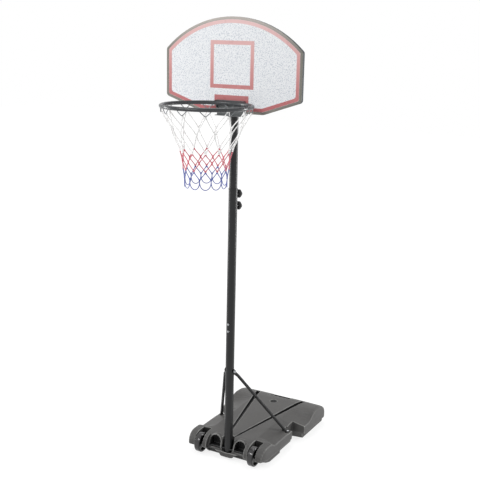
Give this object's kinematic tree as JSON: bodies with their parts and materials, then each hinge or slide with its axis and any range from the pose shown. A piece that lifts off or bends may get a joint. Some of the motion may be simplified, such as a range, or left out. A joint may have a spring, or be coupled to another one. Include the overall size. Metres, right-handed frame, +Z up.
{
  "type": "basketball stand",
  "caption": "Portable basketball stand: water-filled base on two wheels, telescoping pole with struts, fan-shaped backboard, steel hoop and corded net",
  "frame": {"origin": "middle of the footprint, on the floor", "axes": "+Z up along the pole, +X across the backboard, the hoop reaches towards -Y and the base towards +Y"},
  "size_m": [0.71, 1.1068, 2.179],
  "materials": {
    "base_plastic": "dark grey blow-moulded polyethylene, fine satin texture",
    "black_plastic": "black moulded plastic, satin",
    "wheel_plastic": "black hard plastic, half gloss",
    "pole_paint": "black powder-coated steel, satin",
    "hoop_paint": "dark grey painted steel, half gloss",
    "bracket_steel": "grey zinc-coated pressed steel",
    "zinc_fastener": "bright zinc-plated steel",
    "board_plastic": "grey moulded polyethylene",
    "printed_panel": "pale grey printed plastic sheet with red bands",
    "net_cord": "braided polyester cord in white, red and blue"
  },
  "bodies": {
    "base": {"base_tank": "base_plastic", "axle_rod": "pole_paint", "axle_cap": "black_plastic", "lower_pole": "pole_paint", "middle_pole": "pole_paint", "joint_bolt_1": "zinc_fastener", "joint_bolt_2": "zinc_fastener", "joint_nut_1": "zinc_fastener", "joint_nut_2": "zinc_fastener", "strut_left": "pole_paint", "strut_right": "pole_paint", "strut_bolt": "pole_paint", "strut_nut": "pole_paint", "foot_bolt_left": "zinc_fastener", "foot_bolt_right": "zinc_fastener", "foot_nut_left": "zinc_fastener", "foot_nut_right": "zinc_fastener", "weld_nut_lower": "pole_paint", "weld_nut_upper": "pole_paint"},
    "wheel_left": {"wheel_left": "wheel_plastic"},
    "wheel_right": {"wheel_right": "wheel_plastic"},
    "fill_plug": {"fill_plug": "black_plastic"},
    "knob_lower": {"knob_lower": "black_plastic", "stud_lower": "zinc_fastener"},
    "knob_upper": {"knob_upper": "black_plastic", "stud_upper": "zinc_fastener"},
    "mast": {"upper_pole": "pole_paint", "pole_cap": "black_plastic", "backboard_shell": "board_plastic", "backboard_panel": "printed_panel", "upper_strap": "bracket_steel", "strap_screw_left": "zinc_fastener", "strap_screw_right": "zinc_fastener", "lower_bracket": "bracket_steel", "bracket_bolt": "zinc_fastener", "bracket_nut": "zinc_fastener", "rim_ring": "hoop_paint", "rim_bracket": "hoop_paint", "rim_bolt_left": "zinc_fastener", "rim_bolt_right": "zinc_fastener", "rim_nut_left": "zinc_fastener", "rim_nut_right": "zinc_fastener", "net": "net_cord"}
  },
  "joints": [
    {"name": "mast_height", "type": "slide", "parent": "base", "child": "mast", "axis": [0, 0, 1], "range_m": [-0.19, 0.26]},
    {"name": "wheel_left_spin", "type": "hinge", "parent": "base", "child": "wheel_left", "pos_m": [-0.1535, -0.1063, 0.0505], "axis": [1, 0, 0], "continuous": true},
    {"name": "wheel_right_spin", "type": "hinge", "parent": "base", "child": "wheel_right", "pos_m": [0.1535, -0.1063, 0.0505], "axis": [1, 0, 0], "continuous": true},
    {"name": "knob_lower_turn", "type": "hinge", "parent": "base", "child": "knob_lower", "pos_m": [0, -0.0558, 1.301], "axis": [0, 1, 0], "continuous": true},
    {"name": "knob_upper_turn", "type": "hinge", "parent": "base", "child": "knob_upper", "pos_m": [0, -0.0558, 1.359], "axis": [0, 1, 0], "continuous": true},
    {"name": "fill_plug_pull", "type": "slide", "parent": "base", "child": "fill_plug", "axis": [0, 0, 1], "range_m": [0, 0.03]}
  ]
}
